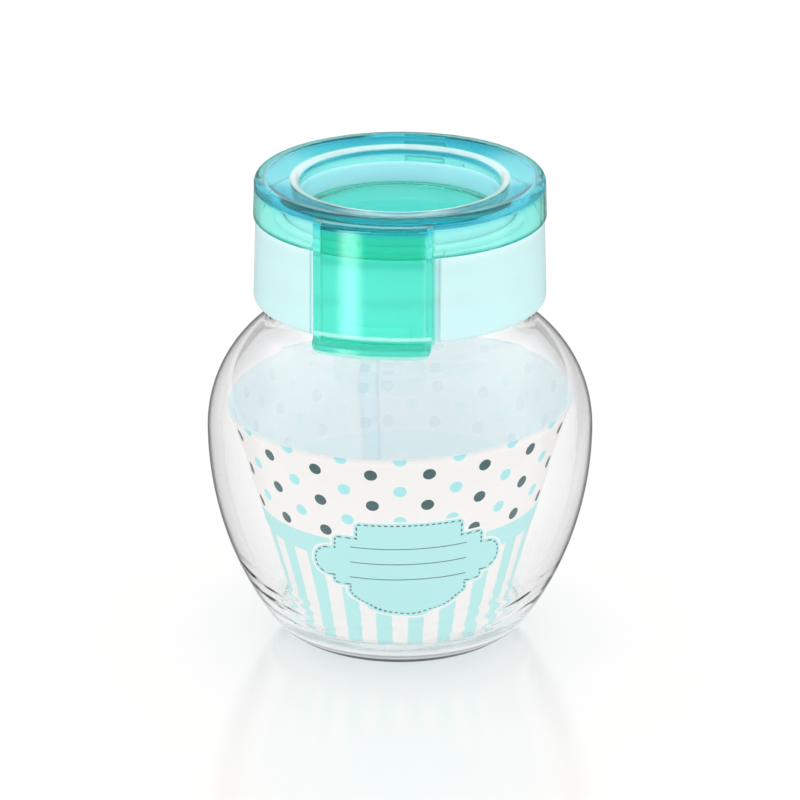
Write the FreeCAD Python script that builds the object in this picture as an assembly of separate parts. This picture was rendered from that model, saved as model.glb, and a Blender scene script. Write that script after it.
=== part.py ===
"""Glass spice jar with a screw-on collar and a hinged, clear flip lid.

Millimetres, +Z up. The origin is the centre of the base, on the surface the jar
stands on. The lid's pull tab faces -Y and its hinge lies at +Y.
"""

import FreeCAD
import Part
import math
import os

# Glass jar: outside form, read from the base up
BELLY_RADIUS = 38.0
BELLY_HEIGHT = 43.2
LOWER_ARC_RADIUS = 68.4
FOOT_ARC_RADIUS = 12.5
SHOULDER_ARC_RADIUS = 26.3
NECK_FILLET = 6.5
NECK_RADIUS = 24.6
NECK_LENGTH = 14.3
NECK_BEAD_RADIUS = 0.9
NECK_BEAD_RISE = 2.1
LIP_ROUND = 1.0

# Glass jar: base and inside
GLASS_WALL = 2.7
NECK_WALL = 2.6
FLOOR_THICKNESS = 4.5
INNER_FOOT_RADIUS = 8.0
INNER_NECK_FILLET = 9.1
BASE_RING_WIDTH = 2.8
PUNT_DEPTH = 1.2

# Paper label, a cone that stands inside the glass
LABEL_THICKNESS = 0.3
LABEL_HEIGHT = 44.7
LABEL_FOOT_REACH = 3.0
LABEL_TOP_GAP = 0.6
LABEL_SEAT_GAP = 0.15

# Sealing ring between the glass lip and the collar
NECK_SEAL_THICKNESS = 1.2
NECK_SEAL_EDGE_GAP = 0.2

# Collar
NECK_THREAD_DEPTH = 1.3
THREAD_CLEARANCE = 0.5
COLLAR_WALL = 1.8
COLLAR_FLARE = 0.5
COLLAR_LIFT = 0.3
COLLAR_EDGE_ROUND = 1.0
COLLAR_TOP_CHAMFER = 0.3
SHELF_THICKNESS = 1.8
MOUTH_STEP = 0.6
POUR_RIM_WALL = 1.6
POUR_RIM_HEIGHT = 1.2
POUR_RIM_ROUND = 0.4

# Recess and catch in the collar, behind the lid's pull tab
RECESS_DEPTH = 0.8
RECESS_SIDE_GAP = 0.85
CATCH_WIDTH = 13.2
CATCH_HEIGHT = 3.4
CATCH_SET_BACK = 0.25

# Lid: rim, skirt and sunken plug
LID_GAP = 0.2
LID_HEIGHT = 7.8
LID_OVERHANG = 0.4
LID_DRAFT = 0.25
LID_WALL = 1.4
LID_PLATE = 1.6
RIM_DISH = 1.0
RIM_ROUND = 1.4
WELL_EDGE_ROUND = 1.0
WELL_WALL = 1.5
WELL_FLOOR = 1.5
WELL_CORNER = 1.0
WELL_DRAFT = 0.4
CHANNEL_ROUND = 0.8
PLUG_REACH = 1.7
PLUG_FLANGE = 0.7
PLUG_FLANGE_HEIGHT = 0.8
PLUG_FLANGE_ROUND = 0.3
LID_SEAL_WALL = 1.2
LID_SEAL_HEIGHT = 4.6
LID_SEAL_FIT = 0.1
LID_SEAL_CLEARANCE = 0.2

# Lid: pull tab at the front
TAB_WIDTH = 23.0
TAB_PROUD = 3.0
TAB_WALL = 1.5
TAB_TOP_DROP = 0.8
TAB_TOP_ROUND = 0.7
TAB_CORNER = 2.0
TAB_OVERREACH = 1.6
FLANGE_GAP = 0.55
GRIP_REACH = 1.6
GRIP_HEIGHT = 2.2
GRIP_ROUND = 0.7
GRIP_SCOOP = 1.6
HOOK_GAP = 0.5
HOOK_BITE = 0.15

# Hinge at the back
PIN_RADIUS = 0.9
PIN_RUNNING_CLEARANCE = 0.05
PIN_CHAMFER = 0.2
BARREL_WALL = 1.3
KNUCKLE_WIDTH = 8.2
KNUCKLE_SIDE_GAP = 0.2
KNUCKLE_WEB_HEIGHT = 4.6
EAR_WIDTH = 4.0
EAR_DROP = 9.0
EAR_EDGE_ROUND = 0.5
HINGE_STAND_OFF = 0.2
HINGE_RISE = 0.4
OPEN_ANGLE = 110.0
HEEL_DIP = 28.0
HEEL_THICKNESS = 1.6
STOP_GAP = 0.12

# Glass arcs. Each centre is (radius, height)
LOWER_CENTRE = (BELLY_RADIUS - LOWER_ARC_RADIUS, BELLY_HEIGHT)
SHOULDER_CENTRE = (BELLY_RADIUS - SHOULDER_ARC_RADIUS, BELLY_HEIGHT)
INNER_LOWER_RADIUS = LOWER_ARC_RADIUS - GLASS_WALL
INNER_SHOULDER_RADIUS = SHOULDER_ARC_RADIUS - GLASS_WALL
BORE_RADIUS = NECK_RADIUS - NECK_WALL


def foot_centre(arc_radius, foot_radius, floor):
    """Centre of the round that joins the lower wall's arc to a level floor."""
    height = floor + foot_radius
    across = math.sqrt((arc_radius - foot_radius) ** 2 - (BELLY_HEIGHT - height) ** 2)
    return (LOWER_CENTRE[0] + across, height)


def neck_centre(arc_radius, wall_radius, fillet):
    """Centre of the fillet that joins the shoulder's arc to an upright wall."""
    radius = wall_radius + fillet
    rise = math.sqrt((arc_radius + fillet) ** 2 - (radius - SHOULDER_CENTRE[0]) ** 2)
    return (radius, BELLY_HEIGHT + rise)


FOOT_CENTRE = foot_centre(LOWER_ARC_RADIUS, FOOT_ARC_RADIUS, 0.0)
INNER_FOOT_CENTRE = foot_centre(INNER_LOWER_RADIUS, INNER_FOOT_RADIUS, FLOOR_THICKNESS)
NECK_CENTRE = neck_centre(SHOULDER_ARC_RADIUS, NECK_RADIUS, NECK_FILLET)
INNER_NECK_CENTRE = neck_centre(INNER_SHOULDER_RADIUS, BORE_RADIUS, INNER_NECK_FILLET)

# Heights, each stacked on the piece below
NECK_START = NECK_CENTRE[1]
LIP_HEIGHT = NECK_START + NECK_LENGTH
COLLAR_BOTTOM = NECK_START + COLLAR_LIFT
SHELF_UNDERSIDE = LIP_HEIGHT + NECK_SEAL_THICKNESS
COLLAR_SHOULDER = SHELF_UNDERSIDE + SHELF_THICKNESS
POUR_RIM_TOP = COLLAR_SHOULDER + POUR_RIM_HEIGHT
LID_BOTTOM = COLLAR_SHOULDER + LID_GAP
LID_TOP = LID_BOTTOM + LID_HEIGHT
PLUG_BOTTOM = COLLAR_SHOULDER - PLUG_REACH
LID_SEAL_BOTTOM = PLUG_BOTTOM + PLUG_FLANGE_HEIGHT
TAB_TOP = LID_TOP - TAB_TOP_DROP
TAB_BOTTOM = COLLAR_BOTTOM - TAB_OVERREACH
HINGE_HEIGHT = COLLAR_SHOULDER + HINGE_RISE

# Radii, each fitted round the piece inside it
COLLAR_BORE = NECK_RADIUS + NECK_THREAD_DEPTH + THREAD_CLEARANCE
COLLAR_TOP_RADIUS = COLLAR_BORE + COLLAR_WALL
COLLAR_BOTTOM_RADIUS = COLLAR_TOP_RADIUS + COLLAR_FLARE
MOUTH_RADIUS = BORE_RADIUS + MOUTH_STEP
RECESS_FLOOR_RADIUS = COLLAR_TOP_RADIUS - RECESS_DEPTH
CATCH_RADIUS = COLLAR_BOTTOM_RADIUS - CATCH_SET_BACK
LID_RADIUS = COLLAR_TOP_RADIUS + LID_OVERHANG
SKIRT_INNER_RADIUS = LID_RADIUS - LID_DRAFT - LID_WALL
LID_SEAL_OUTER_RADIUS = MOUTH_RADIUS - LID_SEAL_CLEARANCE
LID_SEAL_INNER_RADIUS = LID_SEAL_OUTER_RADIUS - LID_SEAL_WALL
PLUG_RADIUS = LID_SEAL_INNER_RADIUS - LID_SEAL_FIT
TAB_RADIUS = LID_RADIUS + TAB_PROUD
GRIP_RADIUS = TAB_RADIUS + GRIP_REACH
HOOK_RADIUS = CATCH_RADIUS - HOOK_BITE
BARREL_RADIUS = PIN_RADIUS + BARREL_WALL
HINGE_BACK = LID_RADIUS + BARREL_RADIUS + HINGE_STAND_OFF
EAR_START = KNUCKLE_WIDTH / 2 + KNUCKLE_SIDE_GAP
PIN_LENGTH = 2 * (EAR_START + EAR_WIDTH)

UP = FreeCAD.Vector(0, 0, 1)
ACROSS = FreeCAD.Vector(1, 0, 0)
ORIGIN = FreeCAD.Vector(0, 0, 0)
FAR = 100.0


def on_section(radius, height):
    """A point of a half section, which lies in the plane of X and Z."""
    return FreeCAD.Vector(radius, 0, height)


def on_side(back, height):
    """A point of a side outline, which lies in the plane of Y and Z."""
    return FreeCAD.Vector(0, back, height)


def angle_to(centre, target):
    return math.degrees(math.atan2(target[1] - centre[1], target[0] - centre[0]))


def arc(centre, radius, start, end):
    """Arc of a half section about a centre, between two angles in degrees."""
    angles = [math.radians(angle) for angle in (start, (start + end) / 2, end)]
    spots = [(centre[0] + radius * math.cos(a), centre[1] + radius * math.sin(a)) for a in angles]
    return Part.Arc(*[on_section(*spot) for spot in spots]).toShape()


def joined(edges):
    """One closed wire: the edges in order, with straight lines across the gaps between them."""
    whole = []
    for edge, following in zip(edges, edges[1:] + edges[:1]):
        whole.append(edge)
        end = edge.lastVertex().Point
        start = following.firstVertex().Point
        if end.distanceToPoint(start) > 1e-6:
            whole.append(Part.LineSegment(end, start).toShape())
    return Part.Wire(whole)


def rounded(corners, place):
    """Closed wire through corners (a, b) or (a, b, round), put in space by place(a, b)."""
    spots = [place(*corner[:2]) for corner in corners]
    rounds = [corner[2] if len(corner) > 2 else 0.0 for corner in corners]
    ends = []
    arcs = []
    for index, (spot, radius) in enumerate(zip(spots, rounds)):
        if not radius:
            ends.append((spot, spot))
            arcs.append(None)
            continue
        back = (spots[index - 1] - spot).normalize()
        ahead = (spots[(index + 1) % len(spots)] - spot).normalize()
        half = back.getAngle(ahead) / 2
        inward = (back + ahead).normalize()
        first = spot + back * (radius / math.tan(half))
        last = spot + ahead * (radius / math.tan(half))
        middle = spot + inward * (radius / math.sin(half) - radius)
        ends.append((first, last))
        arcs.append(Part.Arc(first, middle, last).toShape())
    edges = []
    for index, curve in enumerate(arcs):
        if curve:
            edges.append(curve)
        start = ends[index][1]
        end = ends[(index + 1) % len(ends)][0]
        edges.append(Part.LineSegment(start, end).toShape())
    return Part.Wire(edges)


def revolved(wire):
    return Part.Face(wire).revolve(ORIGIN, UP, 360)


def ring(inner, outer, low, high):
    return revolved(rounded([(inner, low), (outer, low), (outer, high), (inner, high)], on_section))


def front_prism(half_width, low, high, corner):
    """Everything in front of the axis within an upright outline with rounded lower corners."""
    corners = [(-half_width, high), (-half_width, low, corner), (half_width, low, corner), (half_width, high)]
    return Part.Face(rounded(corners, on_section)).extrude(FreeCAD.Vector(0, -FAR, 0))


def front_block(half_width, low, high):
    return Part.makeBox(2 * half_width, FAR, high - low, FreeCAD.Vector(-half_width, -FAR, low))


def glass_jar():
    """Pressed glass: domed base, round body, plain neck with a bead, and a rounded lip."""
    punt_edge = FOOT_CENTRE[0] - BASE_RING_WIDTH
    punt_radius = (punt_edge ** 2 + PUNT_DEPTH ** 2) / (2 * PUNT_DEPTH)
    punt_centre = (0.0, PUNT_DEPTH - punt_radius)
    foot_angle = angle_to(LOWER_CENTRE, FOOT_CENTRE)
    shoulder_angle = angle_to(SHOULDER_CENTRE, NECK_CENTRE)
    inner_foot_angle = angle_to(LOWER_CENTRE, INNER_FOOT_CENTRE)
    inner_shoulder_angle = angle_to(SHOULDER_CENTRE, INNER_NECK_CENTRE)
    bead_centre = (NECK_RADIUS, NECK_START + NECK_BEAD_RISE)
    lip_round_height = LIP_HEIGHT - LIP_ROUND
    edges = [
        arc(punt_centre, punt_radius, 90, angle_to(punt_centre, (punt_edge, 0.0))),
        arc(FOOT_CENTRE, FOOT_ARC_RADIUS, -90, foot_angle),
        arc(LOWER_CENTRE, LOWER_ARC_RADIUS, foot_angle, 0),
        arc(SHOULDER_CENTRE, SHOULDER_ARC_RADIUS, 0, shoulder_angle),
        arc(NECK_CENTRE, NECK_FILLET, shoulder_angle + 180, 180),
        arc(bead_centre, NECK_BEAD_RADIUS, -90, 90),
        arc((NECK_RADIUS - LIP_ROUND, lip_round_height), LIP_ROUND, 0, 90),
        arc((BORE_RADIUS + LIP_ROUND, lip_round_height), LIP_ROUND, 90, 180),
        arc(INNER_NECK_CENTRE, INNER_NECK_FILLET, 180, inner_shoulder_angle + 180),
        arc(SHOULDER_CENTRE, INNER_SHOULDER_RADIUS, inner_shoulder_angle, 0),
        arc(LOWER_CENTRE, INNER_LOWER_RADIUS, 0, inner_foot_angle),
        arc(INNER_FOOT_CENTRE, INNER_FOOT_RADIUS, inner_foot_angle, -90),
        Part.LineSegment(on_section(0, FLOOR_THICKNESS), on_section(0, PUNT_DEPTH)).toShape(),
    ]
    return revolved(joined(edges))


def inner_wall_radius(height):
    """Radius of the glass's inner wall above its foot."""
    if height > BELLY_HEIGHT:
        centre, radius = SHOULDER_CENTRE, INNER_SHOULDER_RADIUS
    else:
        centre, radius = LOWER_CENTRE, INNER_LOWER_RADIUS
    return centre[0] + math.sqrt(radius ** 2 - (height - centre[1]) ** 2)


def label_sleeve():
    """Paper cone that rests on the curve of the glass floor and widens to the belly."""
    seat_drop = math.sqrt(INNER_FOOT_RADIUS ** 2 - LABEL_FOOT_REACH ** 2)
    low = INNER_FOOT_CENTRE[1] - seat_drop + LABEL_SEAT_GAP
    low_radius = INNER_FOOT_CENTRE[0] + LABEL_FOOT_REACH
    high = low + LABEL_HEIGHT
    high_radius = inner_wall_radius(high) - LABEL_TOP_GAP
    slant = math.atan2(high_radius - low_radius, LABEL_HEIGHT)
    thickness = LABEL_THICKNESS / math.cos(slant)
    corners = [
        (low_radius - thickness, low),
        (low_radius, low),
        (high_radius, high),
        (high_radius - thickness, high),
    ]
    return revolved(rounded(corners, on_section))


def neck_seal():
    """Flat ring that the collar presses onto the glass lip."""
    inner = BORE_RADIUS + NECK_SEAL_EDGE_GAP
    outer = COLLAR_BORE - NECK_SEAL_EDGE_GAP
    return ring(inner, outer, LIP_HEIGHT, SHELF_UNDERSIDE)


def on_ear_rim(edge, outer_side):
    """Whether an edge is on the outer side of an ear and clear of the collar's wall."""
    middle = edge.valueAt((edge.FirstParameter + edge.LastParameter) / 2)
    return abs(middle.x - outer_side) < EAR_WIDTH / 10 and middle.y > COLLAR_BOTTOM_RADIUS


def collar_ears():
    """Two brackets at the back that carry the hinge pin, each tapering down into the collar."""
    low = COLLAR_SHOULDER - EAR_DROP
    centre = (HINGE_BACK, HINGE_HEIGHT)
    foot = (COLLAR_BORE, low)
    reach = math.hypot(foot[0] - centre[0], foot[1] - centre[1])
    tangent = math.radians(angle_to(centre, foot)) + math.acos(BARREL_RADIUS / reach)
    touch = (centre[0] + BARREL_RADIUS * math.cos(tangent), centre[1] + BARREL_RADIUS * math.sin(tangent))
    inside = COLLAR_BORE - COLLAR_WALL
    top = COLLAR_SHOULDER
    outline = [(inside, low), foot, touch, centre, (HINGE_BACK, top), (inside, top)]
    wall_middle = Part.makeCylinder(COLLAR_BORE + COLLAR_WALL / 2, LID_TOP)
    ears = []
    for side in (-1, 1):
        start = EAR_START if side > 0 else -EAR_START - EAR_WIDTH
        web = Part.Face(rounded(outline, on_side)).extrude(ACROSS * EAR_WIDTH)
        web.translate(ACROSS * start)
        barrel = Part.makeCylinder(BARREL_RADIUS, EAR_WIDTH, on_side(*centre) + ACROSS * start, ACROSS)
        ear = web.cut(wall_middle).fuse(barrel).removeSplitter()
        outer_side = side * (EAR_START + EAR_WIDTH)
        rim = [edge for edge in ear.Edges if on_ear_rim(edge, outer_side)]
        ears.append(ear.makeFillet(EAR_EDGE_ROUND, rim))
    return ears


def pin_hole(radius):
    start = on_side(HINGE_BACK, HINGE_HEIGHT) - ACROSS * PIN_LENGTH
    return Part.makeCylinder(radius, 2 * PIN_LENGTH, start, ACROSS)


def collar():
    """Opaque ring that screws over the neck, with the pouring rim, tab recess, catch and hinge ears."""
    body = revolved(rounded([
        (COLLAR_BORE, COLLAR_BOTTOM),
        (COLLAR_BOTTOM_RADIUS, COLLAR_BOTTOM, COLLAR_EDGE_ROUND),
        (COLLAR_TOP_RADIUS, COLLAR_SHOULDER - COLLAR_TOP_CHAMFER),
        (COLLAR_TOP_RADIUS - COLLAR_TOP_CHAMFER, COLLAR_SHOULDER),
        (MOUTH_RADIUS + POUR_RIM_WALL, COLLAR_SHOULDER),
        (MOUTH_RADIUS + POUR_RIM_WALL, POUR_RIM_TOP, POUR_RIM_ROUND),
        (MOUTH_RADIUS, POUR_RIM_TOP, POUR_RIM_ROUND),
        (MOUTH_RADIUS, SHELF_UNDERSIDE),
        (COLLAR_BORE, SHELF_UNDERSIDE),
    ], on_section))
    outside = COLLAR_BOTTOM_RADIUS + TAB_PROUD
    recess_ring = ring(RECESS_FLOOR_RADIUS, outside, COLLAR_BOTTOM - LID_GAP, LID_BOTTOM)
    recess = recess_ring.common(front_block(TAB_WIDTH / 2 + RECESS_SIDE_GAP, 0, LID_TOP))
    catch_top = COLLAR_BOTTOM + CATCH_HEIGHT
    catch_ring = ring((COLLAR_BORE + RECESS_FLOOR_RADIUS) / 2, CATCH_RADIUS, COLLAR_BOTTOM, catch_top)
    catch = catch_ring.common(front_block(CATCH_WIDTH / 2, 0, LID_TOP))
    whole = body.cut(recess).fuse([catch] + collar_ears())
    return whole.cut(pin_hole(PIN_RADIUS)).removeSplitter()


def hinge_pin():
    """Straight steel pin, pressed into the ears, with chamfered ends."""
    pin = Part.makeCylinder(PIN_RADIUS, PIN_LENGTH, on_side(HINGE_BACK, HINGE_HEIGHT), ACROSS)
    pin.translate(ACROSS * (-PIN_LENGTH / 2))
    rims = [edge for edge in pin.Edges if edge.Closed]
    return pin.makeChamfer(PIN_CHAMFER, rims)


def lid_shell():
    """Turned form of the lid: sunken plug with a flange for the seal, dished rim and outer skirt."""
    well_floor = PLUG_BOTTOM + WELL_FLOOR
    well_radius = PLUG_RADIUS - WELL_WALL
    channel_roof = LID_TOP - LID_PLATE
    return revolved(rounded([
        (0, PLUG_BOTTOM),
        (PLUG_RADIUS + PLUG_FLANGE, PLUG_BOTTOM, PLUG_FLANGE_ROUND),
        (PLUG_RADIUS + PLUG_FLANGE, LID_SEAL_BOTTOM),
        (PLUG_RADIUS, LID_SEAL_BOTTOM),
        (PLUG_RADIUS, channel_roof - RIM_DISH, CHANNEL_ROUND),
        (SKIRT_INNER_RADIUS, channel_roof, CHANNEL_ROUND),
        (LID_RADIUS - LID_WALL, LID_BOTTOM),
        (LID_RADIUS, LID_BOTTOM),
        (LID_RADIUS - LID_DRAFT, LID_TOP, RIM_ROUND),
        (LID_RADIUS - LID_WALL - RIM_ROUND, LID_TOP),
        (well_radius, LID_TOP - RIM_DISH, WELL_EDGE_ROUND),
        (well_radius - WELL_DRAFT, well_floor, WELL_CORNER),
        (0, well_floor),
    ], on_section))


def pull_tab():
    """Hollow-backed tab: front wall, side flanges, top ledge, finger grip and inward hook."""
    inside = LID_RADIUS - LID_DRAFT - LID_WALL / 2
    wall_inner = TAB_RADIUS - TAB_WALL
    hook_top = COLLAR_BOTTOM - HOOK_GAP
    grip_top = TAB_BOTTOM + GRIP_HEIGHT
    section = revolved(rounded([
        (inside, TAB_TOP),
        (TAB_RADIUS, TAB_TOP, TAB_TOP_ROUND),
        (TAB_RADIUS, grip_top + GRIP_REACH / 2, GRIP_SCOOP),
        (GRIP_RADIUS, grip_top, GRIP_ROUND),
        (GRIP_RADIUS, TAB_BOTTOM, GRIP_ROUND),
        (HOOK_RADIUS, TAB_BOTTOM),
        (HOOK_RADIUS, hook_top),
        (wall_inner, hook_top),
        (wall_inner, TAB_TOP - TAB_WALL),
        (inside, TAB_TOP - TAB_WALL),
    ], on_section))
    half_width = TAB_WIDTH / 2
    outline = front_prism(half_width, TAB_BOTTOM, TAB_TOP + TAB_WALL, TAB_CORNER)
    hollow = front_block(half_width - TAB_WALL, 0, LID_TOP)
    flange_inner = RECESS_FLOOR_RADIUS + FLANGE_GAP
    flange_ring = ring(flange_inner, TAB_RADIUS - TAB_WALL / 2, TAB_BOTTOM, TAB_TOP - TAB_WALL / 2)
    flanges = flange_ring.common(outline).cut(hollow)
    return section.common(outline).fuse(flanges)


def lid_knuckle():
    """Hinge barrel behind the skirt, with its web and the heel that stops the lid when open."""
    centre = (HINGE_BACK, HINGE_HEIGHT)
    inside = SKIRT_INNER_RADIUS - LID_WALL
    web_top = (LID_RADIUS - LID_DRAFT, LID_BOTTOM + KNUCKLE_WEB_HEIGHT)
    reach = math.hypot(web_top[0] - centre[0], web_top[1] - centre[1])
    tangent = math.radians(angle_to(centre, web_top)) - math.acos(BARREL_RADIUS / reach)
    touch = (centre[0] + BARREL_RADIUS * math.cos(tangent), centre[1] + BARREL_RADIUS * math.sin(tangent))
    outline = [(inside, LID_BOTTOM), (inside, web_top[1]), web_top, touch, centre, (centre[0], LID_BOTTOM)]
    start = ACROSS * (-KNUCKLE_WIDTH / 2)
    web = Part.Face(rounded(outline, on_side)).extrude(ACROSS * KNUCKLE_WIDTH)
    web.translate(start)
    wall_middle = Part.makeCylinder(SKIRT_INNER_RADIUS + LID_WALL / 2, LID_TOP)
    barrel = Part.makeCylinder(BARREL_RADIUS, KNUCKLE_WIDTH, on_side(*centre) + start, ACROSS)
    stop_distance = HINGE_BACK - COLLAR_TOP_RADIUS - STOP_GAP
    corner_reach = stop_distance / math.cos(math.radians(HEEL_DIP))
    corner_angle = math.asin(HEEL_THICKNESS / 2 / corner_reach)
    heel_length = corner_reach * math.cos(corner_angle)
    heel = Part.makeBox(KNUCKLE_WIDTH, heel_length, HEEL_THICKNESS, start - UP * (HEEL_THICKNESS / 2))
    heel.rotate(ORIGIN, ACROSS, 180 + HEEL_DIP + math.degrees(corner_angle) + OPEN_ANGLE)
    heel.translate(on_side(*centre))
    return web.cut(wall_middle).fuse([barrel, heel])


def lid():
    whole = lid_shell().fuse([pull_tab(), lid_knuckle()])
    return whole.cut(pin_hole(PIN_RADIUS + PIN_RUNNING_CLEARANCE)).removeSplitter()


def lid_seal():
    """Soft sleeve round the lid's plug that closes the collar's mouth."""
    top = LID_SEAL_BOTTOM + LID_SEAL_HEIGHT
    return ring(LID_SEAL_INNER_RADIUS, LID_SEAL_OUTER_RADIUS, LID_SEAL_BOTTOM, top)


PIECES = {
    "glass_jar": glass_jar,
    "label_sleeve": label_sleeve,
    "neck_seal": neck_seal,
    "collar": collar,
    "hinge_pin": hinge_pin,
    "lid": lid,
    "lid_seal": lid_seal,
}

os.makedirs("parts", exist_ok=True)
for name, make in PIECES.items():
    shape = make()
    shape.exportStep(os.path.join("parts", name + ".step"))
    print(name, "solids", len(shape.Solids), "valid", shape.isValid(), "volume", round(shape.Volume, 1))
print("hinge axis at y", round(HINGE_BACK, 3), "z", round(HINGE_HEIGHT, 3))
print("lip", round(LIP_HEIGHT, 2), "collar bottom", round(COLLAR_BOTTOM, 2), "lid top", round(LID_TOP, 2))
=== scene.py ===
"""Looks of a small glass spice jar: printed paper sleeve inside, mint screw collar, clear turquoise flip lid.

Metres, +Z up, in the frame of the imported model. The pull tab faces -Y and the hinge lies at +Y.
"""

import bmesh
import bpy
import math
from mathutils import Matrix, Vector


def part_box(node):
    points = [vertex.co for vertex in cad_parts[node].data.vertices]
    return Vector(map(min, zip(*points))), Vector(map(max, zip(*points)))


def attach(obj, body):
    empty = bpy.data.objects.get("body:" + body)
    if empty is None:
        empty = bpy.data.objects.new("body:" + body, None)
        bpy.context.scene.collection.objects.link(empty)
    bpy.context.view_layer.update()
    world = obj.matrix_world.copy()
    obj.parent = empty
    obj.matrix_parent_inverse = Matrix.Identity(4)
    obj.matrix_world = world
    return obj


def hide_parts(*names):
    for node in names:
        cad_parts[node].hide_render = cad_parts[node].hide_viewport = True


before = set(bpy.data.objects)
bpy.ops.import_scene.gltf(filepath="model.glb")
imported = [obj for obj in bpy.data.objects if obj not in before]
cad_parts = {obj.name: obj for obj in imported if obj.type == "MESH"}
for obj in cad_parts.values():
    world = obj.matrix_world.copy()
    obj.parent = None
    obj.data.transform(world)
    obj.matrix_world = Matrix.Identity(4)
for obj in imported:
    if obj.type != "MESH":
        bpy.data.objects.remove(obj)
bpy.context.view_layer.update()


# Glass jar
# Clear soda-lime glass, blown in a mould: heavy foot, round belly, short neck.
# A one-start thread runs round the neck, above the bead that the mould's parting ring leaves.
MM = 0.001
jar_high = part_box("glass_jar")[1]
BELLY_RADIUS = jar_high.x
LIP_HEIGHT = jar_high.z
BELLY_HEIGHT = 43.2 * MM
LOWER_ARC = 68.4 * MM
FOOT_ARC = 12.5 * MM
SHOULDER_ARC = 26.3 * MM
NECK_RADIUS = 24.6 * MM
NECK_FILLET = 6.5 * MM
NECK_BEAD = 0.9 * MM
NECK_BEAD_RISE = 2.1 * MM
LIP_ROUND = 1.0 * MM
GLASS_WALL = 2.7 * MM
NECK_WALL = 2.6 * MM
GLASS_FLOOR = 4.5 * MM
INNER_FOOT_ARC = 8.0 * MM
INNER_NECK_FILLET = 9.1 * MM
BASE_RING = 2.8 * MM
PUNT_DEPTH = 1.2 * MM
THREAD_PITCH = 6.0 * MM
THREAD_TURNS = 1.2
THREAD_START = 75.0 * MM
THREAD_DEPTH = 1.2 * MM
THREAD_HALF_WIDTH = 1.3 * MM
THREAD_RUN_OUT = 12
WALL_RIPPLE = 0.05 * MM
RIPPLE_HEIGHT = 11.0 * MM
RIPPLE_SPREAD = 7.0 * MM
RIPPLE_LONG = 3.4 * MM
RIPPLE_SHORT = 2.1 * MM
GLASS_SEGMENTS = 288
GLASS_IOR = 1.47
FOOT_CLOUD = 0.6
FOOT_CLOUD_EDGE = (6.2 * MM, 4.8 * MM)
FOOT_LINE = 0.95
FOOT_LINE_EDGE = (3.3 * MM, 2.5 * MM)
FOOT_LINE_SLANT = (0.55, 0.7)
SEAM_SHADE = 0.45
SEAM_SHADE_HEIGHT = 3.9 * MM
SEAM_SHADE_EDGE = (0.45 * MM, 0.2 * MM)
DARK_EDGE_START = (3 * MM, 11 * MM)
DARK_EDGE_SLANT = (0.78, 0.88)


def angle_to(centre, target):
    return math.atan2(target[1] - centre[1], target[0] - centre[0])


def arc(centre, radius, start, end, count):
    """Points (radius, height) along an arc of a half section, from start to end in radians."""
    turns = [start + (end - start) * step / count for step in range(count + 1)]
    return [(centre[0] + radius * math.cos(turn), centre[1] + radius * math.sin(turn)) for turn in turns]


def line(start, end, count):
    """Points between two ends of a straight stretch, the ends left out."""
    shares = [step / count for step in range(1, count)]
    return [(start[0] + (end[0] - start[0]) * s, start[1] + (end[1] - start[1]) * s) for s in shares]


def foot_centre(wall_arc, foot_arc, floor):
    height = floor + foot_arc
    across = math.sqrt((wall_arc - foot_arc) ** 2 - (BELLY_HEIGHT - height) ** 2)
    return (BELLY_RADIUS - LOWER_ARC + across, height)


def neck_centre(shoulder_arc, wall_radius, fillet):
    radius = wall_radius + fillet
    rise = math.sqrt((shoulder_arc + fillet) ** 2 - (radius - shoulder_centre[0]) ** 2)
    return (radius, BELLY_HEIGHT + rise)


def glass_outside():
    """Half section of the jar's outer skin, from the middle of the base to the lip."""
    foot = foot_centre(LOWER_ARC, FOOT_ARC, 0.0)
    foot_turn = angle_to(lower_centre, foot)
    punt_edge = foot[0] - BASE_RING
    punt_radius = (punt_edge ** 2 + PUNT_DEPTH ** 2) / (2 * PUNT_DEPTH)
    punt_centre = (0.0, PUNT_DEPTH - punt_radius)
    neck = neck_centre(SHOULDER_ARC, NECK_RADIUS, NECK_FILLET)
    shoulder_turn = angle_to(shoulder_centre, neck)
    bead_centre = (NECK_RADIUS, neck[1] + NECK_BEAD_RISE)
    bead = arc(bead_centre, NECK_BEAD, -math.pi / 2, math.pi / 2, 8)
    lip = arc((NECK_RADIUS - LIP_ROUND, LIP_HEIGHT - LIP_ROUND), LIP_ROUND, 0, math.pi / 2, 6)
    return (
        arc(punt_centre, punt_radius, math.pi / 2, angle_to(punt_centre, (punt_edge, 0.0)), 10)
        + arc(foot, FOOT_ARC, -math.pi / 2, foot_turn, 20)
        + arc(lower_centre, LOWER_ARC, foot_turn, 0, 40)[1:]
        + arc(shoulder_centre, SHOULDER_ARC, 0, shoulder_turn, 36)[1:]
        + arc(neck, NECK_FILLET, shoulder_turn + math.pi, math.pi, 16)[1:]
        + bead
        + line(bead[-1], lip[0], 40)
        + lip
    )


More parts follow.
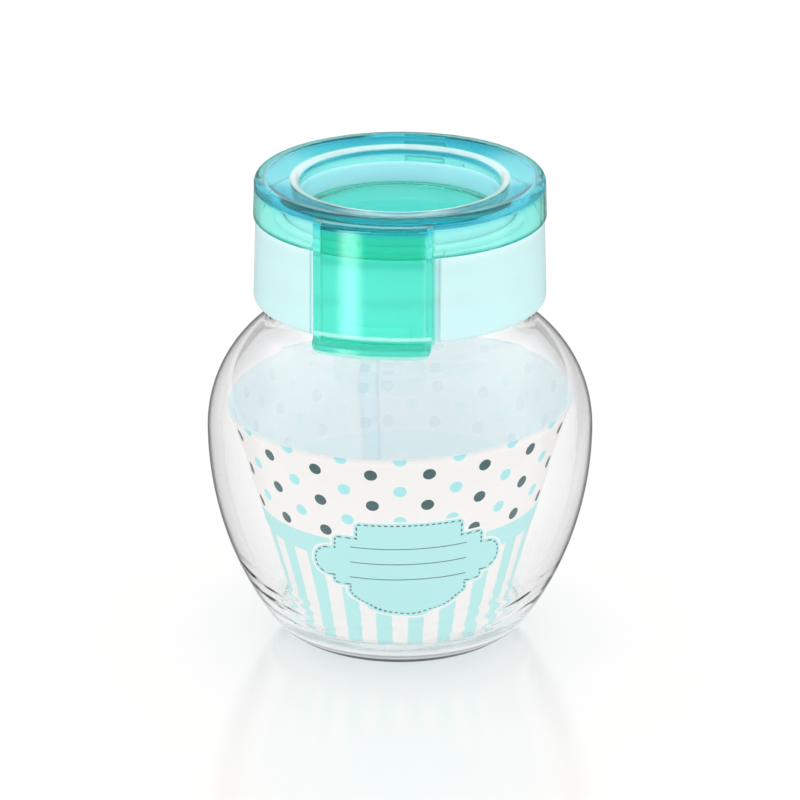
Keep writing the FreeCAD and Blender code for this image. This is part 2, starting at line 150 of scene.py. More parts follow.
def glass_inside():
    """Half section of the jar's inner skin, from the lip down to the middle of the floor."""
    foot = foot_centre(LOWER_ARC - GLASS_WALL, INNER_FOOT_ARC, GLASS_FLOOR)
    foot_turn = angle_to(lower_centre, foot)
    bore = NECK_RADIUS - NECK_WALL
    neck = neck_centre(SHOULDER_ARC - GLASS_WALL, bore, INNER_NECK_FILLET)
    shoulder_turn = angle_to(shoulder_centre, neck)
    lip_centre = (bore + LIP_ROUND, LIP_HEIGHT - LIP_ROUND)
    return (
        arc(lip_centre, LIP_ROUND, math.pi / 2, math.pi, 6)
        + arc(neck, INNER_NECK_FILLET, math.pi, shoulder_turn + math.pi, 16)
        + arc(shoulder_centre, SHOULDER_ARC - GLASS_WALL, shoulder_turn, 0, 30)[1:]
        + arc(lower_centre, LOWER_ARC - GLASS_WALL, 0, foot_turn, 84)[1:]
        + arc(foot, INNER_FOOT_ARC, foot_turn, -math.pi / 2, 24)[1:]
        + line((foot[0], GLASS_FLOOR), (0.0, GLASS_FLOOR), 8)
        + [(0.0, GLASS_FLOOR)]
    )


def thread_rise(height, turn):
    """How far the thread's ridge stands out of the neck at a height and a turn; its ends run out."""
    along = (height - THREAD_START) / THREAD_PITCH
    lap = round(along - turn / math.tau)
    place = lap + turn / math.tau
    off_centre = abs(along - place) * THREAD_PITCH / THREAD_HALF_WIDTH
    fade = min(1.0, max(0.0, THREAD_RUN_OUT * min(place, THREAD_TURNS - place)))
    return THREAD_DEPTH * fade * 0.5 * (1 + math.cos(math.pi * min(1.0, off_centre)))


def spun(name, section, segments, bulge=None, closed=False):
    """Mesh turned about Z from a half section; bulge(index, turn) moves a point outwards."""
    mesh = bmesh.new()
    rings = []
    for index, (radius, height) in enumerate(section):
        if radius < 1e-7:
            rings.append([mesh.verts.new((0.0, 0.0, height))])
            continue
        ring = []
        for step in range(segments):
            turn = math.tau * step / segments
            reach = radius + (bulge(index, turn) if bulge else 0.0)
            ring.append(mesh.verts.new((reach * math.cos(turn), reach * math.sin(turn), height)))
        rings.append(ring)
    following = rings[1:] + rings[:1] if closed else rings[1:]
    for lower, upper in zip(rings, following):
        for step in range(segments):
            after = (step + 1) % segments
            corners = [lower[step % len(lower)], lower[after % len(lower)]]
            corners += [upper[after % len(upper)], upper[step % len(upper)]]
            mesh.faces.new(list(dict.fromkeys(corners)))
    for face in mesh.faces:
        face.smooth = True
    return finished(name, mesh)


def finished(name, mesh):
    """Turns an edited mesh into an object of the scene, faces pointing outwards."""
    bmesh.ops.recalc_face_normals(mesh, faces=mesh.faces)
    data = bpy.data.meshes.new(name)
    mesh.to_mesh(data)
    mesh.free()
    piece = bpy.data.objects.new(name, data)
    bpy.context.scene.collection.objects.link(piece)
    return piece


lower_centre = (BELLY_RADIUS - LOWER_ARC, BELLY_HEIGHT)
shoulder_centre = (BELLY_RADIUS - SHOULDER_ARC, BELLY_HEIGHT)
outside = glass_outside()
inside = glass_inside()


def glass_bulge(index, turn):
    """Thread on the outside of the neck, and the soft ripple that blowing leaves on the inner wall."""
    if index < len(outside):
        return thread_rise(outside[index][1], turn)
    height = inside[index - len(outside)][1]
    nearness = math.exp(-((height - RIPPLE_HEIGHT) / RIPPLE_SPREAD) ** 2)
    lean = height / RIPPLE_SPREAD
    wave = 0.6 * math.sin(7 * turn + 2 * lean) + 0.5 * math.sin(19 * turn - 3 * lean)
    wave += 0.6 * math.sin(math.tau * height / RIPPLE_LONG + 2.5 * math.sin(5 * turn))
    wave += 0.4 * math.sin(math.tau * height / RIPPLE_SHORT + 3.5 * math.sin(9 * turn + 1))
    return WALL_RIPPLE * nearness * wave


def colour(red, green, blue):
    """Colour written as on a screen, 0 to 255, for a shader's socket."""
    shares = [value / 255 for value in (red, green, blue)]
    linear = [s / 12.92 if s <= 0.04045 else ((s + 0.055) / 1.055) ** 2.4 for s in shares]
    return (*linear, 1.0)


def material(name):
    """New material with one surface shader; returns it with its node tree and that shader."""
    made = bpy.data.materials.new(name)
    made.use_nodes = True
    return made, made.node_tree, made.node_tree.nodes["Principled BSDF"]


def grain(tree, scale, detail=3.0):
    """Noise that is fixed to the piece; scale counts features per metre."""
    place = tree.nodes.new("ShaderNodeTexCoord")
    noise = tree.nodes.new("ShaderNodeTexNoise")
    noise.inputs["Scale"].default_value = scale
    noise.inputs["Detail"].default_value = detail
    tree.links.new(place.outputs["Object"], noise.inputs["Vector"])
    return noise.outputs["Fac"]


def spread(tree, share, low, high):
    """Stretches a 0 to 1 share over a range of numbers."""
    node = tree.nodes.new("ShaderNodeMapRange")
    node.inputs["To Min"].default_value = low
    node.inputs["To Max"].default_value = high
    tree.links.new(share, node.inputs["Value"])
    return node.outputs["Result"]


def mixed(tree, share, first, second):
    """Colour between two others; the share and the colours are plain values or other nodes' outputs."""
    node = tree.nodes.new("ShaderNodeMix")
    node.data_type = "RGBA"
    for socket, value in ((node.inputs["Factor"], share), (node.inputs[6], first), (node.inputs[7], second)):
        if isinstance(value, (float, tuple)):
            socket.default_value = value
        else:
            tree.links.new(value, socket)
    return node.outputs[2]


def bumped(tree, shader, height, depth):
    """Gives a shader fine relief from a height pattern, depth in metres."""
    node = tree.nodes.new("ShaderNodeBump")
    node.inputs["Strength"].default_value = 1.0
    node.inputs["Distance"].default_value = depth
    tree.links.new(height, node.inputs["Height"])
    tree.links.new(node.outputs["Normal"], shader.inputs["Normal"])


def dress(piece, *finishes):
    """Puts materials on a piece, one for each of its material numbers."""
    slots = piece.data.materials
    for number, finish in enumerate(finishes):
        if number < len(slots):
            slots[number] = finish
        else:
            slots.append(finish)


class Figure:
    """A number that nodes work out all over a surface, so that a finish's layout reads as sums."""

    def __init__(self, tree, socket):
        self.tree = tree
        self.socket = socket

    def ramp(self, start, end):
        """Rises softly from 0 to 1 between two of its values."""
        node = self.tree.nodes.new("ShaderNodeMapRange")
        node.interpolation_type = "SMOOTHSTEP"
        node.inputs["From Min"].default_value = start
        node.inputs["From Max"].default_value = end
        self.tree.links.new(self.socket, node.inputs["Value"])
        return Figure(self.tree, node.outputs["Result"])

    def by(self, operation, *others):
        """Joins it with other figures or plain numbers by one sum of the Math node."""
        node = self.tree.nodes.new("ShaderNodeMath")
        node.operation = operation
        for entry, value in zip(node.inputs, (self,) + others):
            if isinstance(value, Figure):
                self.tree.links.new(value.socket, entry)
            else:
                entry.default_value = value
        return Figure(self.tree, node.outputs[0])

    def __add__(self, other):
        return self.by("ADD", other)

    def __sub__(self, other):
        return self.by("SUBTRACT", other)

    def __mul__(self, other):
        return self.by("MULTIPLY", other)

    def __truediv__(self, other):
        return self.by("DIVIDE", other)

    def __lt__(self, other):
        return self.by("LESS_THAN", other)

    def __gt__(self, other):
        return self.by("GREATER_THAN", other)

    def off_nearest(self):
        """How far it is from the nearest whole number."""
        return self - self.by("ROUND")

    def length_with(self, other):
        return (self * self + other * other).by("SQRT")


def place_on_piece(tree):
    """Where a point lies in the piece's own frame, as three figures."""
    place = tree.nodes.new("ShaderNodeTexCoord")
    parts = tree.nodes.new("ShaderNodeSeparateXYZ")
    tree.links.new(place.outputs["Object"], parts.inputs["Vector"])
    return [Figure(tree, parts.outputs[axis]) for axis in "XYZ"]


def clear_glass(name, edges_darken):
    """Clear glass, a little clouded at the foot; on the outer skin, painted shade greys it where it is seen
    edge on and draws thin dark lines at the foot and at the mould seam's height.
    """
    finish, tree, shader = material(name)
    up = place_on_piece(tree)[2]
    cloud = up.ramp(*FOOT_CLOUD_EDGE) * -FOOT_CLOUD + 1.0
    tree.links.new(cloud.socket, shader.inputs["Transmission Weight"])
    shader.inputs["IOR"].default_value = GLASS_IOR
    smudge = grain(tree, 60.0, 5.0)
    tree.links.new(spread(tree, smudge, 0.0, 0.02), shader.inputs["Roughness"])
    shader.inputs["Base Color"].default_value = (1.0, 1.0, 1.0, 1.0)
    if not edges_darken:
        return finish
    slant = tree.nodes.new("ShaderNodeLayerWeight")
    facing = Figure(tree, slant.outputs["Facing"])
    # Painted shade: grey where the outer skin is seen edge on, a dark line at the foot, and a grey line at
    # the mould seam's height.
    foot_shade = facing.ramp(*FOOT_LINE_SLANT) * up.ramp(*FOOT_LINE_EDGE) * FOOT_LINE
    seam_shade = (up - SEAM_SHADE_HEIGHT).by("ABSOLUTE").ramp(*SEAM_SHADE_EDGE) * SEAM_SHADE
    edge_shade = facing.ramp(*DARK_EDGE_SLANT) * up.ramp(*DARK_EDGE_START)
    edge_and_seam_shade = edge_shade.by("MAXIMUM", seam_shade)
    shade = mixed(tree, edge_and_seam_shade.socket, (1.0, 1.0, 1.0, 1.0), colour(84, 92, 98))
    shade = mixed(tree, foot_shade.socket, shade, colour(30, 34, 38))
    tree.links.new(shade, shader.inputs["Base Color"])
    return finish


def passes_light(piece):
    """A clear piece casts no shade of its own on what lies behind or under it."""
    piece.visible_shadow = False
    piece.visible_diffuse = False


glass_jar = spun("jar_glass", outside + inside, GLASS_SEGMENTS, glass_bulge)
for face in glass_jar.data.polygons:
    face.material_index = int(face.index >= (len(outside) - 1) * GLASS_SEGMENTS)
dress(glass_jar, clear_glass("clear_glass", True), clear_glass("clear_glass_inside", False))
passes_light(glass_jar)
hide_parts("glass_jar")
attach(glass_jar, "jar")


# Paper sleeve
# One sheet of coated paper, printed outside, cut as part of a ring and rolled into a cone.
# Its ends lap at the back, and it stands inside the glass on the curve of the floor.
SLEEVE_LOW_RADIUS = 21.45 * MM
SLEEVE_THICKNESS = 0.25 * MM
SLEEVE_LAP = 4.0 * MM
SLEEVE_SEAM_TURN = 199.0
SLEEVE_LEAN = 1.85 * MM
SLEEVE_LEAN_TURN = 72.0
SLEEVE_LIFT = 0.2 * MM
SLEEVE_CLEARANCE = 0.1 * MM
SLEEVE_COLUMNS = 180
LAP_COLUMNS = 6
SLEEVE_ROWS = 24
PRINT_TURN = 10.2
DOT_COLUMNS = 18.5
DOT_PITCH = 7.4 * MM
DARK_DOT_ROW = 3.7 * MM
AQUA_DOT_ROW = 0.2 * MM
DOT_RADIUS = 1.25 * MM
DOTS_END = 20.6 * MM
BAND_END = 25.4 * MM
STRIPE_PAIRS = 24
STRIPE_EDGE = 0.25
PLAQUE_TURN = 13.8
PLAQUE_PLACE = 27.0 * MM
PLAQUE_STEPS = [(11.2, -11.9, 5.0, 1.7), (15.6, -8.3, 5.4, 1.9), (19.9, -5.2, 3.6, 4.2)]
PLAQUE_BOWL_ARC = 17.0 * MM
PLAQUE_BOWL_END = 11.9 * MM
PLAQUE_BOWL_HALF_WIDTH = 12.2 * MM
PLAQUE_EDGE = 0.45 * MM
STITCH_COUNT = 84
STITCH_HALF_SHARE = 0.29
STITCH_EVENING = 0.135
STITCH_INSET = 1.0 * MM
STITCH_HALF_WIDTH = 0.17 * MM
RULE_COUNT = 3
RULE_GAP = 3.8 * MM
RULE_HALF_SHARE = 0.03
RULES_MIDDLE = -1.3 * MM
RULE_HALF_LENGTH = 11.4 * MM
PAPER_GLOW = 6.0 * MM
PRINT_SHOW_THROUGH = 0.13
GLUE_SHADE = 0.8
GLUE_EDGE = (0.84, 0.93)
sleeve_low, sleeve_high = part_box("label_sleeve")
SLEEVE_HIGH_RADIUS = sleeve_high.x
sleeve_rise = sleeve_high.z - sleeve_low.z
SLEEVE_SLANT = math.hypot(SLEEVE_HIGH_RADIUS - SLEEVE_LOW_RADIUS, sleeve_rise)


def rolled_sleeve():
    """Thin closed sheet, with a map (share of a turn from the seam, share of the slant from the top)."""
    lap_turn = SLEEVE_LAP / SLEEVE_HIGH_RADIUS
    cos_slant = sleeve_rise / SLEEVE_SLANT
    runs = [lap_turn * step / LAP_COLUMNS for step in range(LAP_COLUMNS + 1)]
    runs += [lap_turn + (math.tau - lap_turn) * step / SLEEVE_COLUMNS for step in range(SLEEVE_COLUMNS + 1)]
    mesh = bmesh.new()
    map_layer = mesh.loops.layers.uv.new("print")

    def strip(run, depth):
        turn = math.radians(SLEEVE_SEAM_TURN - 90) + run
        spots = []
        for row in range(SLEEVE_ROWS + 1):
            share = row / SLEEVE_ROWS
            radius = SLEEVE_HIGH_RADIUS + (SLEEVE_LOW_RADIUS - SLEEVE_HIGH_RADIUS) * share
            height = sleeve_high.z - sleeve_rise * share + SLEEVE_LIFT
            height += SLEEVE_LEAN * (1 - share) * math.cos(turn - math.radians(SLEEVE_LEAN_TURN))
            shoulder_rise = max(0.0, height - BELLY_HEIGHT)
            wall = shoulder_centre[0] + math.sqrt((SHOULDER_ARC - GLASS_WALL) ** 2 - shoulder_rise ** 2)
            radius = min(radius, wall - SLEEVE_CLEARANCE) - depth / cos_slant
            spots.append(mesh.verts.new((radius * math.cos(turn), radius * math.sin(turn), height)))
        return spots, run

    def add(first, second, side):
        for row in range(SLEEVE_ROWS):
            corners = [(first, row), (second, row), (second, row + 1), (first, row + 1)]
            face = mesh.faces.new([spots[index] for (spots, run), index in corners])
            face.smooth = True
            face.material_index = side
            for loop, ((spots, run), index) in zip(face.loops, corners):
                loop[map_layer].uv = (run / math.tau, index / SLEEVE_ROWS)

    outer, inner = [], []
    for index, run in enumerate(runs):
        on_top = index <= LAP_COLUMNS
        sunk = SLEEVE_THICKNESS * max(0.0, 1 - (run - lap_turn) / (2 * lap_turn))
        outer.append(strip(run, 0.0 if on_top else sunk))
        inner.append(strip(run, SLEEVE_THICKNESS + (SLEEVE_THICKNESS if on_top else sunk)))
    count = len(runs)
    for index in range(count):
        after = (index + 1) % count
        if after > 0:
            add(outer[index], outer[after], 0)
        if index != LAP_COLUMNS:
            add(inner[index], inner[after], 1)
        for row in (0, SLEEVE_ROWS):
            ring = [outer[index][0][row], outer[after][0][row], inner[after][0][row], inner[index][0][row]]
            mesh.faces.new(ring).material_index = 1
    bmesh.ops.remove_doubles(mesh, verts=mesh.verts, dist=1e-6)
    return finished("paper_sleeve", mesh)


def place_on_sheet(tree):
    """Share of a turn from the seam, and share of the slant from the top, as two figures."""
    place = tree.nodes.new("ShaderNodeUVMap")
    place.uv_map = "print"
    parts = tree.nodes.new("ShaderNodeSeparateXYZ")
    tree.links.new(place.outputs["UV"], parts.inputs["Vector"])
    return Figure(tree, parts.outputs["X"]), Figure(tree, parts.outputs["Y"])


def print_colours(tree):
    """The sleeve's print: polka dots, a plain band, stripes, and a plaque with ruled lines."""
    from_seam, share = place_on_sheet(tree)
    turn = from_seam + SLEEVE_SEAM_TURN / 360
    slant = share * SLEEVE_SLANT
    radius = share * (SLEEVE_LOW_RADIUS - SLEEVE_HIGH_RADIUS) + SLEEVE_HIGH_RADIUS
    print_turn = turn - 1.0 - PRINT_TURN / 360

    def dots(turn_shift, first_row):
        across = (print_turn * DOT_COLUMNS - turn_shift).off_nearest() * radius * (math.tau / DOT_COLUMNS)
        along = ((slant - first_row) / DOT_PITCH).off_nearest() * DOT_PITCH
        return (across.length_with(along) < DOT_RADIUS) * (slant < DOTS_END)

    stripes = (print_turn * STRIPE_PAIRS).off_nearest().by("ABSOLUTE") > STRIPE_EDGE
    stripes = stripes * (slant > BAND_END)
    band = (slant > DOTS_END) * (slant < BAND_END)

    across = (turn - PLAQUE_TURN / 360).off_nearest() * radius * math.tau
    aside = across.by("ABSOLUTE")
    along = slant - PLAQUE_PLACE
    bowl = across.length_with(along + (PLAQUE_BOWL_ARC - PLAQUE_BOWL_END)) - PLAQUE_BOWL_ARC
    outside_by = bowl.by("MAXIMUM", aside - PLAQUE_BOWL_HALF_WIDTH).by("MAXIMUM", along * -1.0)
    for half_width, top, bottom, corner in PLAQUE_STEPS:
        wide = (aside - (half_width - corner) * MM).by("MAXIMUM", 0.0)
        middle = (top + bottom) / 2 * MM
        high = ((along - middle).by("ABSOLUTE") - ((bottom - top) / 2 - corner) * MM).by("MAXIMUM", 0.0)
        outside_by = outside_by.by("MINIMUM", wide.length_with(high) - corner * MM)
    plaque_edge = outside_by < 0.0
    plaque = outside_by < -PLAQUE_EDGE
    bearing = along.by("ARCTAN2", across)
    walk = (bearing + (bearing * 2).by("SINE") * STITCH_EVENING) * (STITCH_COUNT / math.tau)
    stitches = (outside_by + STITCH_INSET).by("ABSOLUTE") < STITCH_HALF_WIDTH
    stitches = stitches * (walk.off_nearest().by("ABSOLUTE") < STITCH_HALF_SHARE)
    ruled = (along - RULES_MIDDLE) / RULE_GAP
    rules = (ruled.off_nearest().by("ABSOLUTE") < RULE_HALF_SHARE) * (ruled.by("ABSOLUTE") < RULE_COUNT / 2)
    rules = rules * (aside < RULE_HALF_LENGTH)

    white = colour(250, 248, 246)
    aqua = colour(182, 241, 240)
    teal = colour(62, 104, 108)
    ink = mixed(tree, dots(0.0, AQUA_DOT_ROW).socket, white, colour(168, 238, 241))
    ink = mixed(tree, dots(0.5, DARK_DOT_ROW).socket, ink, colour(0, 80, 84))
    ink = mixed(tree, band.by("MAXIMUM", stripes).socket, ink, aqua)
    ink = mixed(tree, plaque_edge.socket, ink, colour(248, 250, 249))
    ink = mixed(tree, plaque.socket, ink, colour(180, 240, 240))
    return mixed(tree, stitches.by("MAXIMUM", rules).socket, ink, teal)


def let_light_through(shader, share, reach):
    """Makes a thin wall glow from the light behind it; reach is how far light spreads inside."""
    shader.inputs["Subsurface Weight"].default_value = share
    shader.inputs["Subsurface Radius"].default_value = (1.0, 1.0, 1.0)
    shader.inputs["Subsurface Scale"].default_value = reach


def printed_paper():
    finish, tree, shader = material("printed_paper")
    fibre = grain(tree, 900.0, 6.0)
    ink = print_colours(tree)
    tinted = mixed(tree, spread(tree, fibre, 0.0, 0.10), ink, colour(214, 216, 214))
    tree.links.new(tinted, shader.inputs["Base Color"])
    tree.links.new(spread(tree, fibre, 0.42, 0.6), shader.inputs["Roughness"])
    shader.inputs["Specular IOR Level"].default_value = 0.25
    bumped(tree, shader, fibre, 0.02 * MM)
    return finish


def plain_paper():
    """Back of the sheet: uncoated, darker and bluer than the front as painted shade of the jar's inside,
    darker still by the glued seam, partly glue and partly painted shade, with the print showing faintly
    through.
    """
    finish, tree, shader = material("paper_back")
    fibre = grain(tree, 700.0, 6.0)
    # Painted shade: the back is coloured darker and bluer than the front, for the shade inside the jar.
    base = mixed(tree, fibre, colour(182, 228, 240), colour(176, 223, 236))
    from_seam = place_on_sheet(tree)[0]
    # Darker towards the seam, partly glue and partly painted shade.
    glue_and_shade = from_seam.ramp(*GLUE_EDGE) * GLUE_SHADE
    base = mixed(tree, glue_and_shade.socket, base, colour(148, 196, 214))
    tree.links.new(mixed(tree, PRINT_SHOW_THROUGH, base, print_colours(tree)), shader.inputs["Base Color"])
    tree.links.new(spread(tree, fibre, 0.65, 0.85), shader.inputs["Roughness"])
    bumped(tree, shader, fibre, 0.03 * MM)
    let_light_through(shader, 0.8, PAPER_GLOW)
    return finish


paper_sleeve = rolled_sleeve()
dress(paper_sleeve, printed_paper(), plain_paper())
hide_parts("label_sleeve")
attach(paper_sleeve, "jar")


# Sealing ring on the lip
# Flat ring of closed-cell foam, punched from sheet, that the collar presses onto the glass lip.
# It lifts off with the collar.
SEAL_GAP = 0.05 * MM
NECK_SEAL_INNER = 22.2 * MM
NECK_SEAL_ROUND = 0.2 * MM
RING_SEGMENTS = 144


def rounded_ring(name, inner, outer, low, high, corner):
    """Ring of oblong section with rounded corners, a hair clear of what it touches."""
    left, right = inner + SEAL_GAP + corner, outer - SEAL_GAP - corner
    bottom, top = low + SEAL_GAP + corner, high - SEAL_GAP - corner
    section = []
    for quarter, centre in enumerate([(right, bottom), (right, top), (left, top), (left, bottom)]):
        start = (quarter - 1) * math.pi / 2
        section += arc(centre, corner, start, start + math.pi / 2, 4)
    return spun(name, section, RING_SEGMENTS, closed=True)


def seal_foam():
    finish, tree, shader = material("seal_foam")
    cells = grain(tree, 1800.0, 4.0)
    pale_grey = mixed(tree, cells, colour(236, 238, 238), colour(218, 222, 223))
    tree.links.new(pale_grey, shader.inputs["Base Color"])
    tree.links.new(spread(tree, cells, 0.7, 0.95), shader.inputs["Roughness"])
    bumped(tree, shader, cells, 0.05 * MM)
    return finish


neck_low, neck_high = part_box("neck_seal")
neck_seal = rounded_ring(
    "neck_seal_ring", NECK_SEAL_INNER, neck_high.x, neck_low.z, neck_high.z, NECK_SEAL_ROUND
)
dress(neck_seal, seal_foam())
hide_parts("neck_seal")
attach(neck_seal, "seal_ring")


# Collar
# Opaque mint polypropylene, injection moulded: it screws on the neck and carries the hinge ears.
# Its inner thread runs just below the glass's own, and a recess in its front takes the lid's tab.
COLLAR_BORE = 26.4 * MM
COLLAR_THREAD_DROP = 1.8 * MM
COLLAR_THREAD_TURNS = 0.95
COLLAR_THREAD_DEPTH = 1.1 * MM
COLLAR_THREAD_HALF_WIDTH = 0.9 * MM
COLLAR_THREAD_ROOT = 0.4 * MM
COLLAR_THREAD_STEPS = 140
COLLAR_THREAD_POINTS = 9
COLLAR_THREAD_RUN_OUT = 14
FRONT = -20 * MM
RECESS_RIGHT = 12.35 * MM
RECESS_LEFT = -12.8 * MM
RECESS_LINE = 0.3 * MM
RECESS_LINE_SHADE = 0.55
RECESS_TOP = 87 * MM


def inner_thread():
    """Helical ridge on the collar's bore, under the glass's own thread, rooted a little in the wall."""
    mesh = bmesh.new()
    rings = []
    for step in range(COLLAR_THREAD_STEPS + 1):
        share = step / COLLAR_THREAD_STEPS
        turn = math.tau * COLLAR_THREAD_TURNS * share
        height = THREAD_START - COLLAR_THREAD_DROP + THREAD_PITCH * turn / math.tau
        fade = min(1.0, COLLAR_THREAD_RUN_OUT * share, COLLAR_THREAD_RUN_OUT * (1 - share))
        ring = []
        for point in range(COLLAR_THREAD_POINTS):
            across = 2 * point / (COLLAR_THREAD_POINTS - 1) - 1
            crest = 0.5 * (1 + math.cos(math.pi * across)) * COLLAR_THREAD_DEPTH * fade
            rooted = point in (0, COLLAR_THREAD_POINTS - 1)
            radius = COLLAR_BORE + COLLAR_THREAD_ROOT if rooted else COLLAR_BORE - crest
            up = height + across * COLLAR_THREAD_HALF_WIDTH
            ring.append(mesh.verts.new((radius * math.cos(turn), radius * math.sin(turn), up)))
        rings.append(ring)
    for near, far in zip(rings, rings[1:]):
        for point in range(COLLAR_THREAD_POINTS):
            after = (point + 1) % COLLAR_THREAD_POINTS
            mesh.faces.new([near[point], near[after], far[after], far[point]]).smooth = True
    for end in (rings[0], rings[-1]):
        mesh.faces.new(end)
    return finished("collar_thread", mesh)


def mint_plastic():
    finish, tree, shader = material("mint_plastic")
    flow = grain(tree, 45.0, 2.0)
    skin = grain(tree, 2600.0, 2.0)
    east, north, up = place_on_piece(tree)
    # Painted shade: a thin teal line down each side of the recess, below the skirt.
    off_edge = (east - RECESS_RIGHT).by("ABSOLUTE").by("MINIMUM", (east - RECESS_LEFT).by("ABSOLUTE"))
    edge = off_edge.ramp(RECESS_LINE, 0.5 * RECESS_LINE) * (north < FRONT) * (up < RECESS_TOP)
    mint = mixed(tree, flow, colour(212, 253, 249), colour(216, 254, 251))
    mint = mixed(tree, (edge * RECESS_LINE_SHADE).socket, mint, colour(84, 190, 190))
    tree.links.new(mint, shader.inputs["Base Color"])
    tree.links.new(spread(tree, skin, 0.24, 0.36), shader.inputs["Roughness"])
    shader.inputs["IOR"].default_value = 1.49
    let_light_through(shader, 1.0, 2.0 * MM)
    bumped(tree, shader, skin, 0.004 * MM)
    return finish


mint = mint_plastic()
dress(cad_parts["collar"], mint)
collar_thread = inner_thread()
dress(collar_thread, mint)
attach(collar_thread, "collar_unit")


# Hinge pin
# Drawn steel wire, cut to length with broken edges and pressed into the collar's ears.
# The lid's knuckle turns on it.
def pin_steel():
    finish, tree, shader = material("pin_steel")
    shader.inputs["Metallic"].default_value = 1.0
    drawn = grain(tree, 1500.0, 3.0)
    steel = mixed(tree, drawn, colour(196, 198, 200), colour(164, 167, 170))
    tree.links.new(steel, shader.inputs["Base Color"])
    tree.links.new(spread(tree, drawn, 0.18, 0.38), shader.inputs["Roughness"])
    return finish


dress(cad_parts["hinge_pin"], pin_steel())


# Lid
# Clear turquoise acrylic in one moulding: sunken plug, dished rim, skirt, pull tab and knuckle.
# It snaps shut by the hook at the foot of the tab and turns on the pin at the back.
# Each pair below gives where a tint starts and where it is full.
LID_TINT = (0.05, 0.97, 0.9)
LID_DEPTH_OF_TINT = 200.0
LID_IOR = 1.42
LID_CLEARNESS = 0.9
LID_UNEVENNESS = 0.6 * MM
TAB_SIDES = (11.6 * MM, 11.3 * MM)
TAB_OUT = (28.0 * MM, 28.6 * MM)
TAB_HEAD = (85.5 * MM, 87.4 * MM)
TAB_EDGE_SIDES = (9.5 * MM, 10.4 * MM)
TAB_EDGE_OUT = (29.6 * MM, 30.0 * MM)
TAB_EDGE_SHARE = 0.8
SCOOP_TOP = (71.9 * MM, 71.5 * MM)
SCOOP_FOOT = (70.2 * MM, 70.6 * MM)
SCOOP_SHARE = 0.6
SCOOP_LINE_HEIGHT = 72.4 * MM
SCOOP_LINE = (0.5 * MM, 0.2 * MM)
SCOOP_LINE_OUT = (31.0 * MM, 31.4 * MM)
TAB_FOOT = (69.8 * MM, 69.2 * MM)
PALE_LINE_SHARE = 0.8
HIGHLIGHT_DIFFUSE_SHARE = 0.5
SKIRT_FOOT = (86.6 * MM, 87.2 * MM)
SKIRT_INSIDE = (21.5 * MM, 22.5 * MM)
SKIRT_OUTSIDE = (32 * MM, 31 * MM)
HEM = (88.0 * MM, 87.5 * MM)
WELL_FOOT = (86.8 * MM, 87.6 * MM)
WELL_OUTSIDE = (22.5 * MM, 21.5 * MM)
WELL_EDGE_HEIGHT = (93.7 * MM, 94.2 * MM)
WELL_EDGE_OUTSIDE = (21.7 * MM, 21.1 * MM)
RIM_HEIGHT = (91.8 * MM, 94.2 * MM)
RIM_SIDES = (0.5, 0.95)


def tinted_through(tree, tint, density):
    """Lets a clear piece take its colour from its depth, as dyed glass and plastic do."""
    depth = tree.nodes.new("ShaderNodeVolumeAbsorption")
    depth.inputs["Color"].default_value = (*tint, 1.0)
    depth.inputs["Density"].default_value = density
    tree.links.new(depth.outputs["Volume"], tree.nodes["Material Output"].inputs["Volume"])


